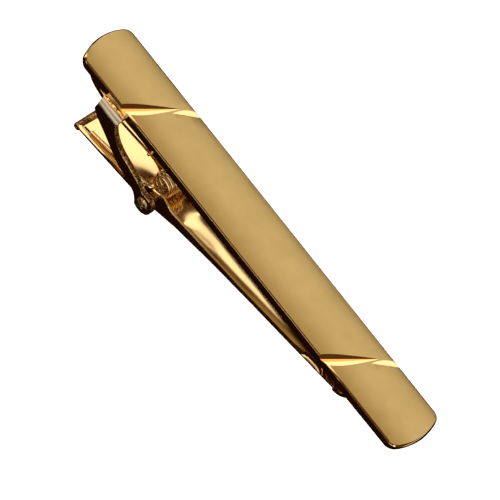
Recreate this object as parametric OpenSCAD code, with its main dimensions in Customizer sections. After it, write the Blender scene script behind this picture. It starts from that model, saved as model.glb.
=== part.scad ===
// Sprung tie clip. A flat front bar carries a folded bracket on its back, and a lever turns
// on a riveted pin between the bracket's two cheeks. A coil spring round the pin pushes the
// thumb tab away from the bar, which closes the jaw at the lever's other end.
// X runs along the bar towards the jaw, Y across it, and Z out of its front face.
// The origin is the middle of the bar's back face. All sizes are in millimetres.

/* [Front bar] */
// Length of the bar over its two curved ends
bar_length = 58; // [52:0.5:64]
// Width of the bar
bar_width = 7.35; // [6.6:0.05:7.8]
// Height of the straight polished side walls
wall_height = 1.15; // [0.9:0.05:1.8]
// Width of the polished bevel round the front face
bevel_width = 0.2; // [0.1:0.05:0.35]
// Height of the polished bevel
bevel_height = 0.14; // [0.05:0.01:0.3]
// Rise of the satin face from its long edges to its middle
crown_height = 0.2; // [0.1:0.05:0.4]
// Radius of the arc that ends the bar
end_radius = 7; // [6:0.1:12]
// Radius of the corners between the arcs and the long sides
corner_radius = 1.3; // [0.6:0.1:1.6]
// Length of the bevel under each end
end_relief_length = 2.2; // [1:0.1:3]
// Height of the side wall that is left at the very end
end_edge = 0.3; // [0.2:0.05:0.8]

/* [Grooves] */
// Distance from the bar's middle to the middle of each groove
groove_distance = 18; // [14:0.5:21]
// How far the long cut of a groove starts behind that middle, at one side of the bar
long_cut_start = 2.87; // [2:0.05:3.5]
// How far past that middle the long cut runs out of the face
long_cut_end = 0.9; // [0.4:0.1:1.4]
// Depth of the long cut at its start
long_cut_depth = 0.45; // [0.25:0.05:0.6]
// How far the short cut starts past that middle, at the other side of the bar
short_cut_start = 2.9; // [2.3:0.1:3.5]
// How far past that middle the short cut runs out of the face
short_cut_end = 0.85; // [0.4:0.05:1.4]
// Depth of the short cut at its start
short_cut_depth = 0.18; // [0.1:0.02:0.3]

/* [Hinge pin] */
// Distance from the bar's middle back to the pin
pin_back = 11.8; // [10.5:0.1:13]
// Distance from the bar's back face down to the pin
pin_drop = 6.35; // [6:0.05:7]
// Radius of the pin
pin_radius = 0.5; // [0.4:0.05:0.6]
// Radius of the two riveted heads
head_radius = 0.85; // [0.75:0.05:1]
// Height of the riveted heads
head_height = 0.3; // [0.2:0.05:0.45]

/* [Bracket] */
// Thickness of the bracket's sheet
bracket_sheet = 0.7; // [0.5:0.05:0.75]
// Clear width between the two cheeks
cheek_gap = 8.1; // [7.8:0.1:8.6]
// Outer radius of the two folds
fold_radius = 0.8; // [0.8:0.05:1]
// Length of each fold along the bar
fold_length = 3.1; // [2.5:0.1:3.6]
// Distance from the end of the folds to the pin
cheek_reach = 8; // [7:0.1:9]
// Length of the tongue that is soldered to the bar behind the folds
tongue_length = 4.1; // [3:0.1:4.6]
// Radius of the ears round the pin
ear_radius = 1.4; // [1.15:0.05:1.6]
// Size of the solder fillet beside the bar
solder_size = 0.22; // [0.12:0.02:0.3]

/* [Lever] */
// Thickness of the lever's sheet
lever_sheet = 0.5; // [0.4:0.05:0.55]
// Width of the lever at the tab and the pin
lever_width = 6; // [5.6:0.1:6.2]
// Width of the lever at the jaw
jaw_width = 5.3; // [4.6:0.1:5.6]
// Distance from the pin down to the underside of the lever
lever_drop = 2.4; // [2.3:0.05:2.6]
// Distance from the pin to the end of the thumb tab
tab_reach = 12.1; // [11:0.1:13]
// How much further down the tab's end lies than the lever at the pin
tab_fall = 1.7; // [1.3:0.05:2.1]
// Radius of the tab's two corners beside its rolled end
tab_corner_radius = 0.6; // [0.4:0.05:0.9]
// Distance from the pin to the foot of the jaw lip
arm_reach = 29.9; // [26:0.1:32]
// How far the jaw lip reaches forward of its foot
lip_reach = 2.3; // [1.8:0.1:2.8]
// Height of the arm's underside below the bar at the foot of the lip
lip_height = 2.85; // [2.5:0.05:3]
// Outer radius of the lever's two folds at the tab
tab_fold_radius = 0.9; // [0.75:0.05:1]
// Outer radius of the lever's two folds at the jaw
jaw_fold_radius = 0.6; // [0.56:0.02:0.65]
// Radius of the rolled end of the thumb tab
roll_radius = 0.48; // [0.4:0.02:0.55]
// Height of the flanges where the pin goes through them
ear_height = 3.35; // [3.3:0.05:3.5]
// Number of gripping teeth across the jaw lip
tooth_count = 6; // [3:1:9]
// Depth of the gripping teeth
tooth_depth = 0.3; // [0.2:0.02:0.4]

/* [Spring] */
// Diameter of the spring wire
wire_diameter = 0.45; // [0.35:0.01:0.46]
// Radius of the coil, to the middle of the wire
coil_radius = 1.4; // [1.2:0.01:1.45]
// Distance between neighbouring turns of the coil
coil_pitch = 0.88; // [0.87:0.01:0.95]
// Number of whole turns in the coil
coil_turns = 3; // [1:1:3]
// Distance from the middle to the coil's end on the side of the groove's wide mouth
coil_start = 1.25; // [1.1:0.05:1.5]
// Distance from the pin to the spring's end on the thumb tab
tab_leg_reach = 6.8; // [5:0.1:8]
// Distance from the middle to the spring's end on the thumb tab
tab_leg_side = 1.95; // [1.7:0.05:2.1]
// Distance from the pin back to the spring's crossbar under the front bar
bar_leg_back = 3.2; // [2.8:0.1:4]
// Distance from the middle to the free end of the crossbar
crossbar_reach = 3.75; // [2.5:0.05:3.85]

/* [Fits] */
// Play between the lever's holes and the pin, all round
running_play = 0.05; // [0.02:0.01:0.1]
// Space between the closed jaw and the bar, and under the spring's ends
rest_gap = 0.05; // [0.03:0.01:0.1]

/* [Hidden] */

// How far every cut runs past the piece that it cuts
overrun = 1;
// Number of faces round the exact cylinders and arcs
smooth = 96;

half_length = bar_length / 2;
half_width = bar_width / 2;
edge_top = wall_height + bevel_height;
bar_top = edge_top + crown_height;
pin_x = -pin_back;
pin_z = -pin_drop;

// Plan of the bar: each end is an arc that runs into the long sides through two corner arcs
arc_x = half_length - end_radius;
corner_y = half_width - corner_radius;
corner_x = arc_x + sqrt(pow(end_radius - corner_radius, 2) - pow(corner_y, 2));
corner_angle = atan2(corner_y, corner_x - arc_x);
corner_steps = 6;
arc_steps = 12;

// Radius of the long cylinder that crowns the satin face
crown_half = half_width - bevel_width;
crown_radius = (pow(crown_half, 2) + pow(crown_height, 2)) / (2 * crown_height);

// How far across the bar the two cuts of a groove run out, as shares of its width, and how far
// their walls lean away along the bar, as shares of their depth
long_cut_share = 0.78;
short_cut_share = 0.38;
steep_lean_share = 1.1;
gentle_lean_share = 2.6;
flat_lean_share = 4.6;

// Main lines of the bracket
cheek_inside = cheek_gap / 2;
cheek_outside = cheek_inside + bracket_sheet;
fold_end_x = pin_x - cheek_reach;
fold_start_x = fold_end_x - fold_length;
tongue_x = fold_start_x - tongue_length;
cheek_end_x = pin_x + ear_radius;

// Outline of a cheek between the folds and the ear, as shares of cheek_reach back from the
// pin and of pin_drop down from the bar: first its upper edge, then its lower edge
cheek_upper_shares = [[1, 0.17], [0.93, 0.3], [0.83, 0.42], [0.68, 0.52], [0.46, 0.6], [0.24, 0.69], [0.1, 0.79]];
cheek_lower_shares = [[0.1, 1.17], [0.2, 1], [0.31, 0.93], [0.5, 0.86], [0.7, 0.78], [1, 0.57], [1.31, 0.37]];
// Outline of the soldered tongue, as shares of its length and of the cheeks' half width
tongue_shares = [[1, 0.5], [0.93, 0.6], [0.8, 0.67], [0.6, 0.73], [0.35, 0.77], [0.1, 0.8]];

// Main lines of the lever
lever_half = lever_width / 2;
jaw_half = jaw_width / 2;
pin_web_z = pin_z - lever_drop;
tab_end_x = pin_x - tab_reach;
tab_end_z = pin_web_z - tab_fall;
lip_x = pin_x + arm_reach;
lip_z = -lip_height;
lip_end_x = lip_x + lip_reach;
lip_end_z = -rest_gap;

// Stations along the lever, from the tab's end (-1) through the pin (0) to the foot of the
// lip (1). Each row gives the station, how far the underside has gone from its height at the
// pin to its height at that end, as a share, and the height of the flanges above it, as a
// share of ear_height.
lever_shares = [
    [-1, 1, 0.28], [-0.985, 0.988, 0.28], [-0.965, 0.972, 0.28], [-0.95, 0.959, 0.28], [-0.88, 0.903, 0.29],
    [-0.69, 0.749, 0.3], [-0.5, 0.595, 0.3], [-0.32, 0.449, 0.31], [-0.24, 0.384, 0.43], [-0.19, 0.344, 0.69],
    [-0.14, 0.303, 0.87], [-0.08, 0.173, 0.97], [0, 0, 1], [0.03, 0.048, 0.97], [0.06, 0.096, 0.83],
    [0.085, 0.136, 0.67], [0.14, 0.224, 0.555], [0.155, 0.241, 0.54], [0.232, 0.325, 0.455], [0.309, 0.41, 0.376],
    [0.385, 0.482, 0.319], [0.462, 0.548, 0.27], [0.538, 0.615, 0.25], [0.615, 0.678, 0.24],
    [0.696, 0.742, 0.23], [0.77, 0.803, 0.22], [0.85, 0.87, 0.21], [0.923, 0.93, 0.2], [1, 1, 0.2]
];

// Spring wire, in the plane of the coil: the two legs leave the coil along tangents
wire_radius = wire_diameter / 2;
tab_leg_point = [
    pin_x - tab_leg_reach,
    station_z(-tab_leg_reach / tab_reach) + lever_sheet + wire_radius + 2 * rest_gap
];
bar_leg_point = [pin_x - bar_leg_back, -wire_radius - rest_gap];
coil_centre = [pin_x, pin_z];
tab_leg_angle = tangent_angle(tab_leg_point, -1) - 360;
bar_leg_angle = tangent_angle(bar_leg_point, 1);
coil_sweep = 360 * coil_turns + bar_leg_angle - tab_leg_angle - 360 * floor((bar_leg_angle - tab_leg_angle) / 360);
coil_end = coil_pitch * coil_sweep / 360 - coil_start;
rings_per_turn = 8;
wire_sides = 6;
corner_rings = 5;
crossbar_bend = 2 * wire_diameter;

// Angle round the coil at which a straight leg from this point touches it
function tangent_angle(point, side) =
    let (away = point - coil_centre)
    atan2(away[1], away[0]) - side * acos(coil_radius / norm(away));

// Points of one curved end of the bar, drawn in by inset
function bar_end(inset) = concat(
    [for (i = [0:corner_steps])
        let (a = -90 + i * (90 - corner_angle) / corner_steps)
        [corner_x, -corner_y] + (corner_radius - inset) * [cos(a), sin(a)]],
    [for (i = [1:arc_steps - 1])
        let (a = corner_angle * (2 * i / arc_steps - 1))
        [arc_x, 0] + (end_radius - inset) * [cos(a), sin(a)]],
    [for (i = [0:corner_steps])
        let (a = corner_angle + i * (90 - corner_angle) / corner_steps)
        [corner_x, corner_y] + (corner_radius - inset) * [cos(a), sin(a)]]
);

// Whole plan of the bar at one height
function bar_ring(inset, z) = [for (p = concat(bar_end(inset), -bar_end(inset))) [p[0], p[1], z]];

// Straight-line reading of one column of a table whose rows start with a place
function reading(rows, column, place, i = 0) =
    place <= rows[i][0] || i == len(rows) - 1 ? rows[i][column] :
    place <= rows[i + 1][0] ?
        rows[i][column]
        + (rows[i + 1][column] - rows[i][column]) * (place - rows[i][0]) / (rows[i + 1][0] - rows[i][0]) :
    reading(rows, column, place, i + 1);

// Place along the lever, from its station number
function station_x(place) = pin_x + place * (place < 0 ? tab_reach : arm_reach);
// Underside, half width and fold radius of the lever at a station
function station_z(place) =
    pin_web_z + reading(lever_shares, 1, place) * (place < 0 ? -tab_fall : lip_z - pin_web_z);
function station_half(place) =
    let (into = max(0, tab_corner_radius - (station_x(place) - tab_end_x)))
    lever_half + max(place, 0) * (jaw_half - lever_half)
    - tab_corner_radius + sqrt(pow(tab_corner_radius, 2) - pow(into, 2));
function station_fold(place) = tab_fold_radius + max(place, 0) * (jaw_fold_radius - tab_fold_radius);

// Arc of a fold, as points [across, up]
fold_steps = 5;
lip_steps = 8;
function fold_arc(centre, radius, from, to) = [for (i = [0:fold_steps])
    let (a = from + (to - from) * i / fold_steps)
    centre + radius * [cos(a), sin(a)]];

// Section of the folded channel at one station
function channel(place) =
    let (
        x = station_x(place),
        z = station_z(place),
        half = station_half(place),
        fold = station_fold(place),
        top = z + max(ear_height * reading(lever_shares, 2, place), fold + lever_sheet / 10),
        left = [fold - half, z + fold],
        right = [half - fold, z + fold],
        inner = fold - lever_sheet,
        side = half - lever_sheet
    )
    [for (p = concat(
        [[-half, top]], fold_arc(left, fold, 180, 270), fold_arc(right, fold, 270, 360), [[half, top]],
        [[side, top]], fold_arc(right, inner, 360, 270), fold_arc(left, inner, 270, 180), [[-side, top]]
    )) [x, p[0], p[1]]];

// Triangles that close a ring of points, going to and fro between its two ends
function zigzag(step, count) = step % 2 == 0 ? step / 2 : count - (step + 1) / 2;
function cap(count) = [for (step = [0:count - 3])
    let (a = zigzag(step, count), b = zigzag(step + 1, count), c = zigzag(step + 2, count))
    step % 2 == 0 ? [a, c, b] : [b, c, a]];

// Closed skin over a row of rings that all have the same number of points
module loft(rings) {
    count = len(rings[0]);
    last = len(rings) - 1;
    polyhedron(
        points = [for (ring = rings) each ring],
        faces = concat(
            cap(count),
            [for (r = [0:last - 1], i = [0:count - 1], half = [0, 1])
                let (a = r * count + i, b = r * count + (i + 1) % count)
                half == 0 ? [a, a + count, b + count] : [a, b + count, b]],
            [for (f = cap(count)) [for (k = [2:-1:0]) last * count + f[k]]]
        )
    );
}

// Cylinder along Y through the pin's axis
module across(radius, half) {
    translate([pin_x, half, pin_z])
        rotate([90, 0, 0])
            cylinder(r = radius, h = 2 * half, $fn = smooth);
}

// Profile in X and Z, extruded across the clip
module side_prism(half) {
    translate([0, half, 0])
        rotate([90, 0, 0])
            linear_extrude(2 * half)
                children();
}

// Height of the satin face at a distance from its middle line
function face_z(y) = bar_top - crown_radius + sqrt(pow(crown_radius, 2) - pow(min(abs(y), crown_half), 2));

// Straight V cut along a floor line, carried on past both of its ends. Its walls lean back and
// forth along the bar by shares of their height.
module cut(start, end, back_share, front_share) {
    step = overrun * (end - start) / abs(end[1] - start[1]);
    ends = start[1] < end[1] ? [end + step, start - step] : [start - step, end + step];
    loft([for (p = ends) [p, p + overrun * [front_share, 0, 1], p + overrun * [-back_share, 0, 1]]]);
}

// Groove made by two cuts that meet: a long one from one side of the bar, deep and with a steep
// wall at its back, and a short shallow one from the other side with a steep wall at its front
module groove() {
    long_end_y = long_cut_share * bar_width - half_width;
    short_end_y = half_width - short_cut_share * bar_width;
    cut(
        [-long_cut_start, -half_width, edge_top - long_cut_depth],
        [long_cut_end, long_end_y, face_z(long_end_y)],
        steep_lean_share, gentle_lean_share
    );
    cut(
        [short_cut_start, half_width, edge_top - short_cut_depth],
        [short_cut_end, short_end_y, face_z(short_end_y)],
        flat_lean_share, steep_lean_share
    );
}

// Side view of the bar, whose underside is bevelled up towards both ends
module bar_side() {
    relief = wall_height - end_edge;
    right = [
        [half_length - end_relief_length, 0], [half_length, relief], [half_length + overrun, relief],
        [half_length + overrun, bar_top + overrun]
    ];
    polygon(concat(right, [for (i = [len(right) - 1:-1:0]) [-right[i][0], right[i][1]]]));
}

module front_bar() {
    color("goldenrod")
    difference() {
        intersection() {
            loft([
                bar_ring(0, 0), bar_ring(0, wall_height), bar_ring(bevel_width, edge_top),
                bar_ring(bevel_width, bar_top + overrun)
            ]);
            translate([-half_length - overrun, 0, bar_top - crown_radius])
                rotate([0, 90, 0])
                    cylinder(r = crown_radius, h = bar_length + 2 * overrun, $fn = 4 * smooth);
            side_prism(half_width + overrun)
                bar_side();
        }
        for (side = [-1, 1])
            translate([side * groove_distance, 0, 0])
                groove();
    }
}

// Hollow-sided fillet of solder in the corner between the bar's side and the bracket
module solder_seam() {
    color("peru")
    for (side = [0, 1])
        mirror([0, side, 0])
            translate([fold_start_x, half_width, 0])
                rotate([90, 0, 90])
                    linear_extrude(fold_length)
                        difference() {
                            square(solder_size);
                            translate([solder_size, solder_size])
                                circle(r = solder_size, $fn = smooth);
                        }
}

// Outer or inner line of the bracket's folded section, as a rounded block hung from the bar
module rounded_block(half, top, radius, depth) {
    translate([-half, -depth])
        square([2 * half, depth + top - radius]);
    translate([-half + radius, -depth])
        square([2 * (half - radius), depth + top]);
    for (side = [-1, 1])
        translate([side * (half - radius), top - radius])
            circle(r = radius, $fn = smooth);
}

// Plan of the bracket, which narrows to the tongue behind the folds
module bracket_plan() {
    side = concat(
        [for (p = tongue_shares) [fold_start_x - p[0] * tongue_length, p[1] * cheek_outside]],
        [[fold_start_x, cheek_outside + overrun], [cheek_end_x + overrun, cheek_outside + overrun]]
    );
    polygon(concat(side, [for (i = [len(side) - 1:-1:0]) [side[i][0], -side[i][1]]]));
}

// Side view of the bracket: its web, the cheek that tapers down from the folds, and the ear
module bracket_side(half) {
    union() {
        translate([tongue_x, -half, -bracket_sheet])
            cube([tongue_length + fold_length, 2 * half, bracket_sheet]);
        side_prism(half)
            polygon(concat(
                [[fold_start_x, 0], [fold_end_x, 0]],
                [for (p = concat(cheek_upper_shares, cheek_lower_shares))
                    [pin_x - p[0] * cheek_reach, -p[1] * pin_drop]],
                [
                    [fold_start_x - fold_radius / 3, -2 * fold_radius],
                    [fold_start_x - fold_radius / 3, -fold_radius]
                ]
            ));
        across(ear_radius, half);
    }
}

module bracket() {
    depth = pin_drop + ear_radius + overrun;
    color("darkgoldenrod")
    difference() {
        intersection() {
            translate([tongue_x - overrun, 0, 0])
                rotate([90, 0, 90])
                    linear_extrude(cheek_end_x - tongue_x + 2 * overrun)
                        difference() {
                            rounded_block(cheek_outside, 0, fold_radius, depth);
                            rounded_block(cheek_inside, -bracket_sheet, fold_radius - bracket_sheet, depth + overrun);
                        }
            bracket_side(cheek_outside + overrun);
            translate([0, 0, -depth - overrun])
                linear_extrude(depth + 2 * overrun)
                    bracket_plan();
        }
        across(pin_radius, cheek_outside + overrun);
    }
}

// Straight shank with a domed head riveted over each cheek
module hinge_pin() {
    dome_radius = (pow(head_radius, 2) + pow(head_height, 2)) / (2 * head_height);
    color("gold")
    translate([pin_x, 0, pin_z])
        rotate([90, 0, 0]) {
            translate([0, 0, -cheek_outside])
                cylinder(r = pin_radius, h = 2 * cheek_outside, $fn = smooth);
            for (side = [0, 1])
                mirror([0, 0, side])
                    translate([0, 0, cheek_outside])
                        rotate_extrude($fn = smooth)
                            intersection() {
                                translate([0, head_height - dome_radius])
                                    circle(r = dome_radius, $fn = smooth);
                                square([head_radius, head_height]);
                            }
        }
}

// Middle line of the spring wire, from the leg on the tab to the end of the crossbar
function flat_point(point, y) = [point[0], y, point[1]];
function coil_point(turned) =
    let (a = tab_leg_angle + turned)
    [pin_x + coil_radius * cos(a), coil_pitch * turned / 360 - coil_start, pin_z + coil_radius * sin(a)];
coil_rings = ceil(rings_per_turn * coil_sweep / 360);
leg_end = coil_point(coil_sweep);
bar_corner = flat_point(bar_leg_point, coil_end);
leg_way = (bar_corner - leg_end) / norm(bar_corner - leg_end);
function bend_point(share) =
    pow(1 - share, 2) * (bar_corner - crossbar_bend * leg_way) + 2 * share * (1 - share) * bar_corner
    + pow(share, 2) * (bar_corner - [0, crossbar_bend, 0]);
wire_path = concat(
    [flat_point(tab_leg_point, -tab_leg_side)],
    [for (i = [0:coil_rings]) coil_point(coil_sweep * i / coil_rings)],
    [for (i = [0:corner_rings]) bend_point(i / corner_rings)],
    [flat_point(bar_leg_point, -crossbar_reach)]
);

// Direction of the wire at each point, and a side direction carried along without twist
function unit(v) = v / norm(v);
wire_last = len(wire_path) - 1;
wire_way = [for (i = [0:wire_last]) unit(wire_path[min(i + 1, wire_last)] - wire_path[max(i - 1, 0)])];
function squared(v, way) = unit(v - (v * way) * way);
wire_side = [for (i = 0, v = squared([0, 1, 0], wire_way[0]); i <= wire_last;
    i = i + 1, v = i <= wire_last ? squared(v, wire_way[i]) : v) v];

// Least distance between two stretches of the wire that aren't neighbours, less its diameter
function point_gap(p, a, b) =
    let (along = b - a, share = min(1, max(0, (p - a) * along / (along * along))))
    norm(p - a - share * along);
apart = rings_per_turn / 2;
spring_gap = min([for (i = [0:wire_last], j = [0:wire_last - 1])
    if (j > i + apart || j + 1 < i - apart) point_gap(wire_path[i], wire_path[j], wire_path[j + 1])]) - wire_diameter;
echo("Least gap of the spring to itself, in millimetres:", spring_gap);

module torsion_spring() {
    color("sienna")
    loft([for (i = [0:wire_last])
        [for (k = [0:wire_sides - 1])
            let (a = 360 * k / wire_sides)
            wire_path[i] + wire_radius * (cos(a) * wire_side[i] + sin(a) * cross(wire_way[i], wire_side[i]))]]);
}

// Lip that curls up from the arm to the bar, with gripping teeth cut into its edge
module jaw_lip() {
    half = jaw_half - jaw_fold_radius / 2;
    pitch = 2 * half / tooth_count;
    function curl(x_axis, z_axis) = [for (i = [0:lip_steps])
        let (a = 90 * i / lip_steps)
        [lip_x + x_axis * sin(a), lip_end_z - z_axis * cos(a)]];
    inner = curl(lip_reach - lever_sheet, lip_height - rest_gap - lever_sheet);
    difference() {
        side_prism(half)
            polygon(concat(
                [[lip_x - lever_sheet, lip_z]], curl(lip_reach, lip_height - rest_gap),
                [for (i = [lip_steps:-1:0]) inner[i]], [[lip_x - lever_sheet, lip_z + lever_sheet]]
            ));
        for (i = [0:tooth_count])
            translate([lip_x, pitch * (i - tooth_count / 2), lip_end_z])
                rotate([90, 0, 90])
                    linear_extrude(lip_reach + overrun)
                        polygon([
                            [-pitch / 2, overrun], [-pitch / 3, 0], [0, -tooth_depth], [pitch / 3, 0], [pitch / 2, overrun]
                        ]);
    }
}

module lever() {
    roll_half = lever_half - tab_corner_radius;
    color("gold")
    difference() {
        union() {
            loft([for (row = lever_shares) channel(row[0])]);
            translate([tab_end_x, roll_half, tab_end_z + roll_radius])
                rotate([90, 0, 0])
                    cylinder(r = roll_radius, h = 2 * roll_half, $fn = smooth);
            jaw_lip();
        }
        across(pin_radius + running_play, lever_half + overrun);
    }
}

front_bar();
solder_seam();
bracket();
hinge_pin();
torsion_spring();
lever();
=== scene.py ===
import math

import bmesh
import bpy
from mathutils import Matrix, Vector


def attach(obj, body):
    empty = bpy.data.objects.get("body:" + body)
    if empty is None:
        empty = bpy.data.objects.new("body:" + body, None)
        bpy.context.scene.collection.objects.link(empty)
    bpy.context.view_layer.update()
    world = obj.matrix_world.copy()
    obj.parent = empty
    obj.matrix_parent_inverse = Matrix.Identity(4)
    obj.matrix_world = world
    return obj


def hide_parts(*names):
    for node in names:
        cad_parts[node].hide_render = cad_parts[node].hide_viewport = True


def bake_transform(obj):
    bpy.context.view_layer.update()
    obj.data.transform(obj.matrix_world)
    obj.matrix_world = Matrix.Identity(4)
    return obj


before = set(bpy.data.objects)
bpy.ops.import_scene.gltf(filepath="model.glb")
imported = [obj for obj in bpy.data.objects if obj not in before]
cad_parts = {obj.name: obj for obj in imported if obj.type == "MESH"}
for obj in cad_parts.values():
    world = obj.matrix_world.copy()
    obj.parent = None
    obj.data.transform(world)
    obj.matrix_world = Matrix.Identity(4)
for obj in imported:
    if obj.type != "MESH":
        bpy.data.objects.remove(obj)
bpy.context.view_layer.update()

# The front bar is one length of brass, milled flat at the back and faintly crowned in front.
# Its sides and bevels are polished and its face is brushed to a satin before gold plating.
# Each slanting groove is two V cuts that meet: a long one from the near edge, a short one from the far.
MM = 0.001


def mesh_piece(name, points, faces, finishes=(), marked=()):
    """A shown piece from points in millimetres. The faces in marked take the second finish."""
    mesh = bpy.data.meshes.new(name)
    mesh.from_pydata([Vector(p) * MM for p in points], [], faces)
    for finish in finishes:
        mesh.materials.append(finish)
    for index in marked:
        mesh.polygons[index].material_index = 1
    piece = bpy.data.objects.new(name, mesh)
    bpy.context.scene.collection.objects.link(piece)
    tidy = bmesh.new()
    tidy.from_mesh(mesh)
    bmesh.ops.recalc_face_normals(tidy, faces=tidy.faces)
    tidy.to_mesh(mesh)
    tidy.free()
    return piece


def settle(piece, angle=24):
    """Fixes a piece's modifiers in its mesh, then shades it smooth up to an angle."""
    bpy.context.view_layer.update()
    made = bpy.data.meshes.new_from_object(piece.evaluated_get(bpy.context.evaluated_depsgraph_get()))
    old = piece.data
    piece.modifiers.clear()
    piece.data = made
    bpy.data.meshes.remove(old)
    for polygon in made.polygons:
        polygon.use_smooth = True
    made.set_sharp_from_angle(angle=math.radians(angle))


def shape_with(piece, tool, how="DIFFERENCE"):
    """Cuts a piece with a tool, or keeps what the two share, and takes the tool away."""
    change = piece.modifiers.new("shape", "BOOLEAN")
    change.operation = how
    change.object = tool
    change.solver = "EXACT"
    settle(piece)
    bpy.data.objects.remove(tool)


def break_edges(piece, width, angle=25, steps=2, above=-100.0):
    """Rounds a piece's edges over a height by a small width in millimetres, as polishing does."""
    work = bmesh.new()
    work.from_mesh(piece.data)
    sharp = [
        edge for edge in work.edges
        if len(edge.link_faces) == 2 and edge.is_convex and edge.calc_face_angle() > math.radians(angle)
        and min(v.co.z for v in edge.verts) > above * MM
    ]
    bmesh.ops.bevel(
        work, geom=sharp, offset=width * MM, segments=steps, profile=0.5, affect="EDGES", clamp_overlap=True
    )
    work.to_mesh(piece.data)
    work.free()
    settle(piece)


def rings_to_faces(rings, first_cap=True, last_cap=True):
    """Points and faces of a skin through a row of closed rings with equally many points."""
    count = len(rings[0])
    points = [p for ring in rings for p in ring]
    faces = []
    for r in range(len(rings) - 1):
        for i in range(count):
            j = (i + 1) % count
            faces.append((r * count + i, r * count + j, (r + 1) * count + j, (r + 1) * count + i))
    if first_cap:
        faces.append(tuple(range(count - 1, -1, -1)))
    if last_cap:
        faces.append(tuple((len(rings) - 1) * count + i for i in range(count)))
    return points, faces


class Value:
    """One socket of a finish, so that sums of sockets are written as plain arithmetic."""

    def __init__(self, finish, socket):
        self.finish = finish
        self.socket = socket

    def math(self, operation, first, second):
        return self.finish.node("ShaderNodeMath", {"operation": operation}, {0: first, 1: second})

    def __add__(self, other):
        return self.math("ADD", self, other)

    def __radd__(self, other):
        return self.math("ADD", other, self)

    def __sub__(self, other):
        return self.math("SUBTRACT", self, other)

    def __rsub__(self, other):
        return self.math("SUBTRACT", other, self)

    def __mul__(self, other):
        return self.math("MULTIPLY", self, other)

    def __rmul__(self, other):
        return self.math("MULTIPLY", other, self)


class Finish:
    """One surface finish: a material that is built up node by node."""

    def __init__(self, name):
        self.material = bpy.data.materials.new(name)
        self.material.use_nodes = True
        self.nodes = self.material.node_tree.nodes
        self.links = self.material.node_tree.links
        self.nodes.clear()

    def node(self, kind, settings, inputs, output=0):
        made = self.nodes.new(kind)
        for key, value in settings.items():
            if key == "stops":
                for stop, (place, colour) in zip(made.color_ramp.elements, value):
                    stop.position = place
                    stop.color = colour
            else:
                setattr(made, key, value)
        for key, value in inputs.items():
            if isinstance(value, Value):
                self.links.new(value.socket, made.inputs[key])
            else:
                made.inputs[key].default_value = value
        return Value(self, made.outputs[output]) if made.outputs else None

    def place(self, stretch):
        """Place on the piece itself, stretched along each axis."""
        spot = self.node("ShaderNodeTexCoord", {}, {}, 3)
        return self.node("ShaderNodeMapping", {}, {"Vector": spot, "Scale": stretch})

    def noise(self, stretch, scale, detail=3.0, low=0.0, high=1.0):
        """Grey noise, spread so that its values from low to high fill the range from 0 to 1."""
        grey = self.node(
            "ShaderNodeTexNoise", {}, {"Vector": self.place(stretch), "Scale": scale, "Detail": detail}
        )
        return self.node("ShaderNodeMapRange", {}, {"Value": grey, "From Min": low, "From Max": high})

    def mixed(self, share, first, second):
        """Colour that goes from first to second with share."""
        return self.node(
            "ShaderNodeMix", {"data_type": "RGBA"}, {0: share, 6: (*first, 1), 7: (*second, 1)}, 2
        )

    def metal(self, colour, roughness, bump=None, strength=0.1, depth=0.02):
        """Closes the finish as plated metal."""
        inputs = {"Base Color": colour, "Metallic": 1.0, "Roughness": roughness}
        if bump is not None:
            inputs["Normal"] = self.node(
                "ShaderNodeBump", {}, {"Height": bump, "Strength": strength, "Distance": depth * MM}
            )
        shader = self.node("ShaderNodeBsdfPrincipled", {}, inputs)
        self.node("ShaderNodeOutputMaterial", {}, {"Surface": shader})
        return self.material


satin = Finish("satin_gold")
brush = satin.noise((0.25, 3.0, 1.0), 2200.0, 4.0)
cloud = satin.noise((1.0, 1.0, 1.0), 420.0, 5.0)
offset = satin.node("ShaderNodeSeparateXYZ", {}, {0: satin.place((1.0, 1.0, 1.0))}, 1)
# Towards both long edges the face's colour is mixed to a darker brown. This is painted shade, where the
# crowned face turns away from the light.
rim = 0.0
for inner, outer in ((-0.2, -4.3), (2.75, 4.4)):
    rim = rim + satin.node(
        "ShaderNodeMapRange", {"interpolation_type": "SMOOTHSTEP"},
        {"Value": offset, "From Min": inner * MM, "From Max": outer * MM},
    )
face_colour = satin.mixed(cloud, (0.350, 0.248, 0.092), (0.440, 0.312, 0.122))
shaded_edge_colour = satin.mixed(cloud, (0.215, 0.130, 0.032), (0.265, 0.165, 0.046))
satin_gold = satin.metal(
    satin.node("ShaderNodeMix", {"data_type": "RGBA"}, {0: rim, 6: face_colour, 7: shaded_edge_colour}, 2),
    0.33 + 0.12 * brush,
    brush,
    0.25,
    0.004,
)

bright = Finish("bright_gold")
haze = bright.noise((1.0, 1.0, 1.0), 700.0, 3.0)
bright_gold = bright.metal(bright.mixed(haze, (0.80, 0.545, 0.235), (0.87, 0.60, 0.27)), 0.05 + 0.09 * haze)

half_length = 29.0
bar_width = 7.35
half_width = bar_width / 2
wall_top = 1.15
bevel_width = 0.2
edge_top = 1.29
crown = 0.2
crown_power = 3.2
crown_half = half_width - bevel_width
end_radius = 7.0
corner_radius = 1.3
end_relief_length = 2.2
end_relief_rise = 0.85


def crown_height(y):
    """Height of the satin face above the bar's back at a distance from its middle line."""
    return edge_top + crown * (1 - abs(y / crown_half) ** crown_power)


def end_outline(inset, steps):
    """Half of one end's outline, from the long side round the corner to the tip."""
    corner_y = half_width - corner_radius
    arc_x = half_length - end_radius
    corner_x = arc_x + math.sqrt((end_radius - corner_radius) ** 2 - corner_y ** 2)
    turn = math.atan2(corner_y, corner_x - arc_x)
    line = []
    for i in range(steps + 1):
        a = math.pi / 2 + (turn - math.pi / 2) * i / steps
        r = corner_radius - inset
        line.append((corner_x + r * math.cos(a), corner_y + r * math.sin(a)))
    for i in range(1, steps + 1):
        a = turn * (1 - i / steps)
        r = end_radius - inset
        line.append((arc_x + r * math.cos(a), r * math.sin(a)))
    return line


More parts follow.
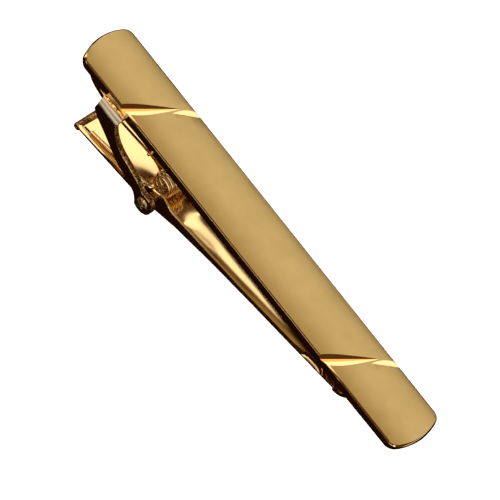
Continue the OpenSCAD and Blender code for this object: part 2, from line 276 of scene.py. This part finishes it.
def bar_outline(inset, steps=14):
    """Right round the bar, drawn in by inset, with a point every 2 mm along its long sides."""
    upper = [(2.0 * i, half_width - inset) for i in range(11)] + end_outline(inset, steps)
    right = [(x, -y) for x, y in upper] + [(x, y) for x, y in reversed(upper[:-1])]
    return right + [(-x, -y) for x, y in right[1:-1]]


def relief(x):
    """Height of the underside, which is bevelled up towards both ends."""
    into = max(0.0, abs(x) - (half_length - end_relief_length)) / end_relief_length
    return end_relief_rise * into


plan = bar_outline(0.0)
bar_rings = [
    [(x, y, relief(x)) for x, y in plan],
    [(x, y, wall_top) for x, y in plan],
    [(x, y, crown_height(y)) for x, y in bar_outline(bevel_width)],
]
points, faces = rings_to_faces(bar_rings, False, False)
count = len(plan)


def across(first, lanes, height, points, faces):
    """Closes a ring of the bar with lanes that run from one long side to the other."""
    columns = []
    order = [i for i in range(count) if points[first + i][1] <= 1e-9]
    order.sort(key=lambda i: points[first + i][0])
    for i in order:
        x, y, z = points[first + i]
        if abs(y) < 1e-9:
            columns.append([first + i] * (lanes + 1))
            continue
        mate = min(
            range(count), key=lambda k: (points[first + k][0] - x) ** 2 + (points[first + k][1] + y) ** 2
        )
        column = [first + i]
        for lane in range(1, lanes):
            yy = y + (points[first + mate][1] - y) * lane / lanes
            points.append((x, yy, height(x, yy)))
            column.append(len(points) - 1)
        column.append(first + mate)
        columns.append(column)
    for one, two in zip(columns, columns[1:]):
        for lane in range(lanes):
            corners = []
            for k in (one[lane], two[lane], two[lane + 1], one[lane + 1]):
                if k not in corners:
                    corners.append(k)
            if len(corners) > 2:
                faces.append(tuple(corners))


first_face = len(faces)
across(2 * count, 24, lambda x, y: crown_height(y), points, faces)
face_count = len(faces)
across(0, 2, lambda x, y: relief(x), points, faces)
bar = mesh_piece(
    "front_bar_body", points, faces, [bright_gold, satin_gold], range(first_face, face_count)
)
settle(bar)

# Each cut: the floor's start and end, measured along the bar from the groove's place, then how
# far the wall towards the tab and the wall towards the jaw lean away, as shares of the depth.
groove_distance = 18.0
long_end_y = 0.78 * bar_width - half_width
short_end_y = half_width - 0.38 * bar_width
cuts = (
    ((-2.87, -half_width, edge_top - 0.45), (0.9, long_end_y, crown_height(long_end_y)), 1.1, 2.6),
    ((2.9, half_width, edge_top - 0.18), (0.85, short_end_y, crown_height(short_end_y)), 4.6, 1.1),
)
for groove_x in (-groove_distance, groove_distance):
    for cut_start, cut_end, back_lean, front_lean in cuts:
        first, last = Vector(cut_start), Vector(cut_end)
        step = (last - first) / abs(last.y - first.y)
        rings = []
        for floor_point in (first - step, last + step):
            low = floor_point + Vector((groove_x, 0, 0))
            rings.append([low, low + Vector((front_lean, 0, 1)), low + Vector((-back_lean, 0, 1))])
        shape_with(bar, mesh_piece("groove_cutter", *rings_to_faces(rings), [bright_gold]))
break_edges(bar, 0.035, angle=18, above=0.6)
# The large faces set the shading at their rims, so that the mirror faces stay flat beside the cuts.
even = bar.modifiers.new("even", "WEIGHTED_NORMAL")
even.keep_sharp = True
settle(bar)
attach(bar, "clip_body")
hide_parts("front_bar")

# The solder is a thin bead of gold-coloured filler, run along both sides of the bar where it
# stands on the bracket. It was laid by hand, so it is lumpy and wider in some places.
solder = Finish("solder_gold")
# Its colour runs from near black in the low spots of the lumps to gold on their tops. The lumps are real;
# the dark is painted shade.
lumps_and_shade = solder.noise((1.0, 1.0, 1.0), 2600.0, 3.0, 0.42, 0.62)
solder_gold = solder.metal(
    solder.mixed(lumps_and_shade, (0.13, 0.055, 0.012), (0.72, 0.48, 0.19)), 0.34 - 0.18 * lumps_and_shade, lumps_and_shade, 0.6, 0.05
)
bead_size = 0.22
bead_start = -22.9
bead_end = -19.8
for name, side in (("solder_bead_near", -1), ("solder_bead_far", 1)):
    rings = []
    steps = 48
    for i in range(steps + 1):
        x = bead_start + (bead_end - bead_start) * i / steps
        size = bead_size * (0.82 + 0.12 * math.sin(5.1 * x) + 0.06 * math.sin(13.7 * x + 1))
        ring = [(x, side * (half_width - 0.02), 0.0), (x, side * (half_width - 0.02), size)]
        for k in range(7):
            a = math.pi / 2 * k / 6
            ring.append((
                x,
                side * (half_width + size * 0.85 * math.sin(a)),
                size * (1 - 0.75 * math.sin(a)) * math.cos(a) + 0.004,
            ))
        ring.append((x, side * (half_width + size * 0.85), 0.0))
        rings.append(ring)
    bead = mesh_piece(name, *rings_to_faces(rings), [solder_gold])
    settle(bead, 50)
    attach(bead, "clip_body")
    if side == -1:
        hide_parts("solder_seam")

# The bracket is one blank of 0.7 mm brass sheet. Its two sides are folded down into cheeks that
# taper to round ears at the pin, and its flat web and tongue are soldered to the bar's back.
# The faces are polished, and the cut edges keep the rougher look of the blanking tool.
cut = Finish("cut_edge_gold")
speckle = cut.noise((1.0, 1.0, 1.0), 3800.0, 4.0, 0.40, 0.64)
cut_edge = cut.metal(
    cut.mixed(speckle, (0.13, 0.055, 0.010), (0.80, 0.55, 0.23)), 0.34 - 0.12 * speckle, speckle, 0.5, 0.03
)

pin_x = -11.8
pin_z = -6.35
sheet = 0.7
cheek_inside = 8.1 / 2
cheek_outside = cheek_inside + sheet
cheek_reach = 8.0
fold_radius = 0.8
fold_end = pin_x - cheek_reach
fold_start = fold_end - 3.1
tongue_length = 4.1
past_tongue = -27.5
pin_radius = 0.5
ear_radius = 1.4


def flowing(line, steps):
    """A smooth line through a few points, as closely spaced points."""
    made = []
    for i in range(len(line) - 1):
        before = line[max(i - 1, 0)]
        after = line[min(i + 2, len(line) - 1)]
        for k in range(steps):
            t = k / steps
            spot = []
            for c in range(len(line[0])):
                a, b = line[i][c], line[i + 1][c]
                va, vb = (b - before[c]) / 2, (after[c] - a) / 2
                spot.append(
                    (2 * t ** 3 - 3 * t ** 2 + 1) * a + (t ** 3 - 2 * t ** 2 + t) * va
                    + (3 * t ** 2 - 2 * t ** 3) * b + (t ** 3 - t ** 2) * vb
                )
            made.append(tuple(spot))
    made.append(tuple(line[-1]))
    return made


def arc(x, z, radius, start, end, steps):
    """Points round part of a circle, angles in degrees."""
    return [
        (
            x + radius * math.cos(math.radians(start + (end - start) * i / steps)),
            z + radius * math.sin(math.radians(start + (end - start) * i / steps)),
        )
        for i in range(steps + 1)
    ]


def prism(name, outline, place, low, high):
    """A cutting tool or blank: an outline of pairs, made into points by place(a, b, height)."""
    rings = [[place(a, b, h) for a, b in outline] for h in (low, high)]
    points, faces = rings_to_faces(rings)
    return mesh_piece(name, points, faces)


# The cheek's upper and lower edges, and the tongue's outline, as shares of the bracket's sizes.
upper_shares = ((1, 0.17), (0.93, 0.3), (0.83, 0.42), (0.68, 0.52), (0.46, 0.6), (0.24, 0.69), (0.1, 0.79))
lower_shares = ((0.1, 1.17), (0.2, 1), (0.31, 0.93), (0.5, 0.86), (0.7, 0.78), (1, 0.57), (1.31, 0.37))
tongue_shares = ((1, 0.5), (0.93, 0.6), (0.8, 0.67), (0.6, 0.73), (0.35, 0.77), (0.1, 0.8))
upper = flowing([(pin_x - a * cheek_reach, b * pin_z) for a, b in upper_shares], 5)
lower = flowing([(pin_x - a * cheek_reach, b * pin_z) for a, b in lower_shares], 5)
tongue = flowing([(fold_start - a * tongue_length, b * cheek_outside) for a, b in tongue_shares], 5)
ear = arc(pin_x, pin_z, ear_radius, 112, -132, 40)
side_view = (
    [(past_tongue, 0.5), (fold_end, 0.5), (fold_end, -0.75)] + upper[1:-1] + ear + lower[1:]
    + [(fold_start - 0.27, -1.6), (fold_start - 0.27, -sheet - 0.1), (past_tongue, -sheet - 0.1)]
)
section = []
for radius, half, top in ((fold_radius, cheek_outside, 0.0), (fold_radius - sheet, cheek_inside, -sheet)):
    steps = 9
    right = arc(half - radius, top - radius, radius, 90, 0, steps) + [(half, -9.0)]
    line = [(-a, b) for a, b in reversed(right)] + right
    section += line if half == cheek_outside else list(reversed(line))
half_plan = tongue + [(fold_start, 5.5), (-10.0, 5.5)]
bracket_plan = half_plan + [(a, -b) for a, b in reversed(half_plan)]
bracket = mesh_piece(
    "bracket_sheet", *rings_to_faces([[(x, y, z) for y, z in section] for x in (-28.0, -10.0)]),
    [bright_gold, cut_edge],
)
tool = prism("bracket_side", side_view, lambda a, b, h: (a, h, b), -6.0, 6.0)
tool.data.materials.append(cut_edge)
shape_with(bracket, tool, "INTERSECT")
tool = prism("bracket_plan", bracket_plan, lambda a, b, h: (a, b, h), -10.0, 1.0)
tool.data.materials.append(cut_edge)
shape_with(bracket, tool, "INTERSECT")
hole = arc(pin_x, pin_z, pin_radius, 0, 352.5, 47)
shape_with(bracket, prism("bracket_hole", hole, lambda a, b, h: (a, h, b), -6.0, 6.0))
break_edges(bracket, 0.07, angle=30)
# The outside of the two folds is rubbed by the folding tool and keeps a greyer, finely drawn look.
rubbed = Finish("rubbed_gold")
strokes = rubbed.noise((0.12, 1.0, 1.0), 3200.0, 3.0, 0.3, 0.7)
bracket.data.materials.append(rubbed.metal(
    rubbed.mixed(strokes, (0.26, 0.20, 0.12), (0.66, 0.57, 0.43)), 0.30 + 0.2 * strokes, strokes, 0.25, 0.02
))
for polygon in bracket.data.polygons:
    spot = polygon.center / MM
    lean = polygon.normal
    on_fold = abs(spot.y) > cheek_outside - fold_radius and spot.z > -sheet
    if on_fold and lean.z > 0.12 and abs(lean.x) < 0.3:
        polygon.material_index = 2
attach(bracket, "clip_body")
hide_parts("bracket")

# The hinge pin is a length of 1 mm wire. It goes through both cheeks and both of the lever's
# ears, and its ends are hammered over into low round heads.
head_radius = 0.85
head_height = 0.3
profile = []
for i in range(13):
    a = math.pi / 2 * i / 12
    profile.append((head_radius * math.sin(a), cheek_outside + head_height * math.cos(a)))
profile += [(pin_radius + 0.02, cheek_outside - 0.001), (pin_radius, cheek_outside - 0.03)]
profile += [(r, -y) for r, y in reversed(profile)]
rings = []
for r, y in profile[1:-1]:
    rings.append([
        (pin_x + r * math.cos(2 * math.pi * k / 64), -y, pin_z + r * math.sin(2 * math.pi * k / 64))
        for k in range(64)
    ])
hammered = Finish("hammered_gold")
dents = hammered.noise((1.0, 1.0, 1.0), 2600.0, 3.0, 0.36, 0.66)
pin_gold = hammered.metal(
    hammered.mixed(dents, (0.22, 0.11, 0.03), (0.86, 0.60, 0.27)), 0.16 + 0.16 * dents, dents, 1.0, 0.12
)
pin = mesh_piece("hinge_pin_riveted", *rings_to_faces(rings), [pin_gold])
settle(pin, 50)
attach(pin, "clip_body")
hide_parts("hinge_pin")

# The lever is one blank of 0.5 mm brass sheet, pressed to a channel whose sides rise to ears at
# the pin. One end is a thumb tab with a rolled edge. The other is the long arm of the jaw, and
# its lip curls up against the bar's back with small gripping teeth. It is polished all over.
pressed = Finish("pressed_gold")
pull = pressed.noise((0.4, 1.6, 1.0), 800.0, 4.0)
lever_gold = pressed.metal(
    pressed.mixed(pull, (0.80, 0.545, 0.235), (0.88, 0.61, 0.275)), 0.07 + 0.09 * pull, pull, 0.12, 0.006
)
lever_sheet = 0.5
lever_half = 3.0
jaw_half = 2.65
tab_reach = 12.1
tab_fall = 1.7
tab_corner = 0.6
tab_fold = 0.9
arm_reach = 29.9
jaw_fold = 0.6
ear_height = 3.35
web_z = pin_z - 2.4
tab_end = pin_x - tab_reach
lip_x = pin_x + arm_reach
lip_z = -2.85
# Stations from the tab's end (-1) through the pin (0) to the foot of the lip (1), each with how
# far the underside has gone to its height at that end, and its flanges as shares of ear_height.
lever_shares = (
    (-1, 1, 0.28), (-0.985, 0.988, 0.28), (-0.965, 0.972, 0.28), (-0.95, 0.959, 0.28),
    (-0.88, 0.903, 0.29), (-0.69, 0.749, 0.3), (-0.5, 0.595, 0.3), (-0.32, 0.449, 0.31),
    (-0.24, 0.384, 0.43), (-0.19, 0.344, 0.69), (-0.14, 0.303, 0.87), (-0.08, 0.173, 0.97),
    (0, 0, 1), (0.03, 0.048, 0.97), (0.06, 0.096, 0.83), (0.085, 0.136, 0.67),
    (0.14, 0.224, 0.555), (0.155, 0.241, 0.54), (0.232, 0.325, 0.455), (0.309, 0.41, 0.376),
    (0.385, 0.482, 0.319), (0.462, 0.548, 0.27), (0.538, 0.615, 0.25), (0.615, 0.678, 0.24),
    (0.696, 0.742, 0.23), (0.77, 0.803, 0.22), (0.85, 0.87, 0.21), (0.923, 0.93, 0.2), (1, 1, 0.2),
)


def smooth_step(t):
    """Goes gently from 0 to 1 as t goes from 0 to 1."""
    t = min(1.0, max(0.0, t))
    return t * t * (3 - 2 * t)


def station(share, drop, flange):
    """Section of the channel at one place along the lever."""
    towards_jaw = max(share, 0)
    x = pin_x + share * (tab_reach if share < 0 else arm_reach)
    z = web_z + drop * (-tab_fall if share < 0 else lip_z - web_z)
    # The tab's two corners are quarter circles in plan.
    into = max(0.0, tab_corner - (x - tab_end))
    half = lever_half + towards_jaw * (jaw_half - lever_half)
    half += math.sqrt(max(0.0, tab_corner ** 2 - into ** 2)) - tab_corner
    fold = tab_fold + towards_jaw * (jaw_fold - tab_fold)
    top = z + max(ear_height * flange, fold + 0.05)
    outside = arc(-half + fold, z + fold, fold, 180, 270, 7) + arc(half - fold, z + fold, fold, 270, 360, 7)
    side = half - lever_sheet
    level = [((half - fold) * (1 - k / 7), 0.0) for k in range(1, 14)]
    right = arc(half - fold, z + fold, fold - lever_sheet, 360, 270, 7)
    right = [(y, height - z - lever_sheet) for y, height in right]
    # Pressing leaves the tab's inside leaning to the far side, and hollows the arm's inside.
    dish = smooth_step((share - 0.09) / 0.10)
    lean = 0.078 + 0.05 * smooth_step((share + 0.5) / 0.3)
    lean *= 1 - smooth_step((share + 0.1) / 0.12)
    inside = []
    for y, height in right + level + [(-y, height) for y, height in reversed(right)]:
        flat = lever_sheet + height - lean * (y - 0.4) * min(1, (side - abs(y)) / 0.4)
        curved = min(0.32 + max(0.07 * (y + 0.4) ** 2, height), top - z - 0.05)
        inside.append((y, z + flat + dish * (curved - flat)))
    # The flanges' inner rims are rubbed low, and swell where they were squeezed near the lip.
    swelling = smooth_step((share - 0.79) / 0.05) * (1 - smooth_step((share - 0.91) / 0.05))
    rim = top - 0.08 + 0.37 * swelling
    ring = [(-half, top)] + outside + [(half, top), (side, rim)] + inside + [(-side, rim)]
    return [(x, y, height) for y, height in ring]


rows = []
for i in range(len(lever_shares) - 1):
    low, high = lever_shares[i], lever_shares[i + 1]
    before, after = lever_shares[max(i - 1, 0)], lever_shares[min(i + 2, len(lever_shares) - 1)]
    gap = high[0] - low[0]
    for k in range(5):
        t = k / 5
        row = [low[0] + gap * t]
        for c in (1, 2):
            va = gap * (high[c] - before[c]) / (high[0] - before[0])
            vb = gap * (after[c] - low[c]) / (after[0] - low[0])
            # The web has a true bend at these two stations and flows through all the others.
            if c == 1 and low[0] in (-0.14, 0):
                va = high[1] - low[1]
            if c == 1 and high[0] in (-0.14, 0):
                vb = high[1] - low[1]
            row.append(
                (2 * t ** 3 - 3 * t ** 2 + 1) * low[c] + (t ** 3 - 2 * t ** 2 + t) * va
                + (3 * t ** 2 - 2 * t ** 3) * high[c] + (t ** 3 - t ** 2) * vb
            )
        rows.append(tuple(row))
rows.append(lever_shares[-1])
lever = mesh_piece("lever_channel", *rings_to_faces([station(*row) for row in rows]), [lever_gold])
settle(lever)
hole = arc(pin_x, pin_z, pin_radius + 0.05, 0, 352.5, 47)
shape_with(lever, prism("lever_hole", hole, lambda a, b, h: (a, h, b), -6.0, 6.0))
break_edges(lever, 0.12, angle=50, steps=3)
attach(lever, "lever")
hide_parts("lever")

roll_radius = 0.48
roll_half = 2.9
roll_z = web_z - tab_fall + roll_radius
# One end of the roll, as radii and how far in they are: the open curl's hole, then its round rim.
roll_end = ((0.16, 0.5), (0.16, 0.05), (0.2, 0.0), (0.36, 0.0), (0.44, 0.05), (roll_radius, 0.16))
profile = [(r, into - roll_half) for r, into in roll_end]
profile += [(r, -y) for r, y in reversed(profile)]
rings = []
for r, y in profile:
    rings.append([
        (tab_end + r * math.cos(2 * math.pi * k / 48), y, roll_z + r * math.sin(2 * math.pi * k / 48))
        for k in range(48)
    ])
# The roll is the same polished gold as the rest of the lever. Its darker, browner colour, darkest in the
# creases, is painted shade.
curled = Finish("shaded_curl_gold")
creases_and_shade = curled.noise((1.0, 1.0, 1.0), 3000.0, 3.0, 0.40, 0.62)
shaded_curl_gold = curled.metal(
    curled.mixed(creases_and_shade, (0.16, 0.065, 0.012), (0.66, 0.40, 0.13)),
    0.34 - 0.14 * creases_and_shade, creases_and_shade, 0.5, 0.03,
)
roll = mesh_piece("thumb_tab_roll", *rings_to_faces(rings), [shaded_curl_gold])
settle(roll, 40)
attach(roll, "lever")

rest_gap = 0.05
lip_reach = 2.3
lip_height = 2.8
lip_half = jaw_half - 0.05
outer, inner = (
    [
        (
            lip_x + (lip_reach - inset) * math.sin(math.radians(5 * i)),
            -rest_gap - (lip_height - inset) * math.cos(math.radians(5 * i)),
        )
        for i in range(19)
    ]
    for inset in (0.0, lever_sheet)
)
lip_foot = lip_x - 0.02
lip_profile = [(lip_foot, lip_z)] + outer + list(reversed(inner)) + [(lip_foot, lip_z + lever_sheet)]
lip = mesh_piece(
    "jaw_lip_curl", *rings_to_faces([[(a, h, b) for a, b in lip_profile] for h in (-lip_half, lip_half)]),
    [bright_gold, cut_edge],
)
teeth = 6
for i in range(teeth + 1):
    y = 2 * lip_half / teeth * (i - teeth / 2)
    notch = [(y - 0.42, 0.5), (y - 0.25, -rest_gap), (y, -0.35), (y + 0.25, -rest_gap), (y + 0.42, 0.5)]
    tool = prism("tooth_cutter", notch, lambda a, b, h: (h, a, b), lip_x, lip_x + 3.5)
    tool.data.materials.append(cut_edge)
    shape_with(lip, tool)
break_edges(lip, 0.05, angle=35)
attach(lip, "lever")

# The spring is hard steel wire with a thin plating, close wound round the pin. One leg presses
# on the thumb tab. The other runs up to the bar's back and turns into a crossbar beneath it.
plated = Finish("plated_wire")
streak = plated.noise((1.0, 1.0, 1.0), 1500.0, 2.0)
wire_gold = plated.metal(
    plated.mixed(streak, (0.80, 0.56, 0.26), (0.98, 0.74, 0.38)), 0.16 + 0.10 * streak, streak, 0.2, 0.02
)
wire = 0.205
coil = 1.38
coil_start = -1.6
coil_x = pin_x - 0.42
coil_z = pin_z + 0.2
coil_pitch = 0.53
turns = 6
tab_tip = (pin_x - 10.6, web_z - 0.55)
tab_leg_y = -2.1
bar_tip = (pin_x - 3.2, -wire - rest_gap)
crossbar_y = -3.95
crossbar_bend = 0.9
wire_sides = 14


def tangent(spot, side):
    """Angle round the coil at which a straight leg from spot touches it."""
    dx, dz = spot[0] - coil_x, spot[1] - coil_z
    return math.atan2(dz, dx) - side * math.acos(coil / math.hypot(dx, dz))


start = tangent(tab_tip, -1) - 2 * math.pi
sweep = (tangent(bar_tip, 1) - start) % (2 * math.pi) + 2 * math.pi * (turns - 1)
coil_finish = coil_start + coil_pitch * sweep / (2 * math.pi)
path = [Vector((tab_tip[0], tab_leg_y, tab_tip[1]))]
steps = int(sweep / (2 * math.pi) * 40)
for i in range(steps + 1):
    a = start + sweep * i / steps
    path.append(Vector((
        coil_x + coil * math.cos(a), coil_start + coil_pitch * sweep / (2 * math.pi) * i / steps,
        coil_z + coil * math.sin(a),
    )))
corner = Vector((bar_tip[0], coil_finish, bar_tip[1]))
way = (corner - path[-1]).normalized()
for i in range(9):
    t = i / 8
    path.append(
        (1 - t) ** 2 * (corner - crossbar_bend * way) + 2 * t * (1 - t) * corner
        + t * t * (corner + Vector((0, -crossbar_bend, 0)))
    )
path.append(Vector((bar_tip[0], crossbar_y, bar_tip[1])))
side = Vector((0, 1, 0))
rings = []
for i, spot in enumerate(path):
    along = (path[min(i + 1, len(path) - 1)] - path[max(i - 1, 0)]).normalized()
    side = (side - side.dot(along) * along).normalized()
    up = along.cross(side)
    # Both cut ends of the wire are rounded off.
    sizes = [(wire, 0.0)]
    if i == 0:
        sizes = [(wire * 0.6, -0.06), (wire, 0.0)]
    elif i == len(path) - 1:
        sizes = [(wire, 0.0), (wire * 0.6, 0.06)]
    for radius, shift in sizes:
        ring = []
        for k in range(wire_sides):
            a = 2 * math.pi * k / wire_sides
            ring.append(spot + along * shift + radius * (math.cos(a) * side + math.sin(a) * up))
        rings.append(ring)
spring = mesh_piece("torsion_spring_wire", *rings_to_faces(rings), [wire_gold])
settle(spring, 50)
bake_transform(spring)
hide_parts("torsion_spring")

# The photographer's table is a plain white sheet far below the clip in a dim, warm room. A large
# soft lamp hangs above and a dark brown card lies below, which the polished sides pick up. Smaller
# lamps in front, behind and at both ends, and a dim wall, show only as reflections.
paper = Finish("white_sheet")
grain = paper.noise((1.0, 1.0, 1.0), 40.0, 2.0)
sheet_shader = paper.node(
    "ShaderNodeBsdfPrincipled", {},
    {"Base Color": paper.mixed(grain, (0.90, 0.90, 0.90), (0.93, 0.93, 0.93)), "Roughness": 0.9},
)
paper.node("ShaderNodeOutputMaterial", {}, {"Surface": sheet_shader})
floor = mesh_piece(
    "floor", [(-900, -900, -75), (900, -900, -75), (900, 900, -75), (-900, 900, -75)], [(0, 1, 2, 3)],
    [paper.material],
)


def glowing_card(name, height, low, high, fades, centre_glow, rim_glow, turn=(0, 0, 0), on_table=False):
    """A card that glows evenly and fades over a stated width, in mm, at each of its four sides."""
    card_finish = Finish(name)
    spot = card_finish.node("ShaderNodeTexCoord", {}, {}, 3)
    glow = None
    for axis in (0, 1):
        place = card_finish.node("ShaderNodeSeparateXYZ", {}, {0: spot}, axis)
        for edge, inward, fade in ((low[axis], 1, fades[axis][0]), (high[axis], -1, fades[axis][1])):
            lit = card_finish.node(
                "ShaderNodeMapRange", {"interpolation_type": "SMOOTHSTEP"},
                {"Value": place, "From Min": edge * MM, "From Max": (edge + inward * fade) * MM},
            )
            glow = lit if glow is None else glow * lit
    shine = card_finish.node(
        "ShaderNodeEmission", {}, {"Color": card_finish.mixed(glow, rim_glow, centre_glow), "Strength": 1.0}
    )
    card_finish.node("ShaderNodeOutputMaterial", {}, {"Surface": shine})
    corners = [(x, y, height) for x, y in (low, (high[0], low[1]), high, (low[0], high[1]))]
    made = mesh_piece(name, corners, [(0, 1, 2, 3)], [card_finish.material])
    made.rotation_euler = [math.radians(angle) for angle in turn]
    made.visible_camera = False
    made.visible_shadow = False
    made.visible_diffuse = on_table


# Where a card faces along Y, its height counts along -Y and its sides along X and Z. Where it
# faces along X, its height counts along X and its sides along Y and Z.
facing_y = (90, 0, 0)
facing_x = (90, 0, 90)
room_glow = (0.10, 0.05, 0.015)
even_fades = ((60, 60), (60, 60))
glowing_card(
    "soft_lamp", 400, (-335, -300), (330, 560), ((60, 120), (140, 110)),
    (1.75, 1.66, 1.62), room_glow, on_table=True,
)
glowing_card(
    "brown_card", -62, (-330, -330), (330, 330), ((20, 20), (20, 20)),
    (0.012, 0.004, 0.001), (0.02, 0.007, 0.002),
)
glowing_card(
    "back_lamp", -505, (-700, 40), (-290, 400), ((60, 50), (60, 1)), (1.75, 1.68, 1.6), room_glow, facing_y
)
glowing_card(
    "back_wall", -630, (-300, 60), (500, 480), even_fades, (0.36, 0.26, 0.10), room_glow, facing_y
)
glowing_card(
    "front_lamp", 560, (-420, 30), (420, 500), ((60, 60), (60, 100)), (1.9, 1.75, 1.6), room_glow, facing_y
)
glowing_card(
    "end_lamp", -505, (290, 90), (640, 380), ((50, 50), (50, 50)), (1.9, 1.8, 1.65), room_glow, facing_y
)
glowing_card("right_lamp", 560, (450, 180), (900, 640), even_fades, (1.9, 1.8, 1.65), room_glow, facing_y)
glowing_card("left_lamp", -500, (-260, 60), (110, 380), even_fades, (1.9, 1.8, 1.65), room_glow, facing_x)

table_lamp = bpy.data.lights.new("table_lamp", "AREA")
table_lamp.size = 0.9
table_lamp.energy = 8.0
lamp_object = bpy.data.objects.new("table_lamp", table_lamp)
lamp_object.location = (0, 0, 0.5)
lamp_object.visible_glossy = False
bpy.context.scene.collection.objects.link(lamp_object)

world = bpy.data.worlds.new("dim_room")
world.use_nodes = True
background = world.node_tree.nodes["Background"]
background.inputs["Color"].default_value = (0.10, 0.045, 0.012, 1)
background.inputs["Strength"].default_value = 1.0
bpy.context.scene.world = world
bpy.context.scene.view_settings.view_transform = "Standard"

# The camera looks as the photograph does: these are the picture's right and up and the way to the
# camera, the point in the middle of the picture, and how large the clip shows in its 500 pixels.
right = Vector((0.6163, 0.7035, 0.3536))
up = Vector((-0.7748, 0.4629, 0.4303))
toward = Vector((0.1390, -0.5392, 0.8304))
picture_pixels = 500
pixels_per_mm = 8.947
middle = Vector((0.03, -0.113, -2.093)) * MM
distance = 1.24
camera_data = bpy.data.cameras.new("camera")
camera_data.sensor_width = 36
camera_data.lens = camera_data.sensor_width * distance / (picture_pixels / pixels_per_mm * MM)
camera_data.clip_end = 100
camera = bpy.data.objects.new("camera", camera_data)
bpy.context.scene.collection.objects.link(camera)
spot = middle + distance * toward.normalized()
camera.matrix_world = Matrix((
    (right.x, up.x, toward.x, spot.x),
    (right.y, up.y, toward.y, spot.y),
    (right.z, up.z, toward.z, spot.z),
    (0, 0, 0, 1),
))
bpy.context.scene.camera = camera
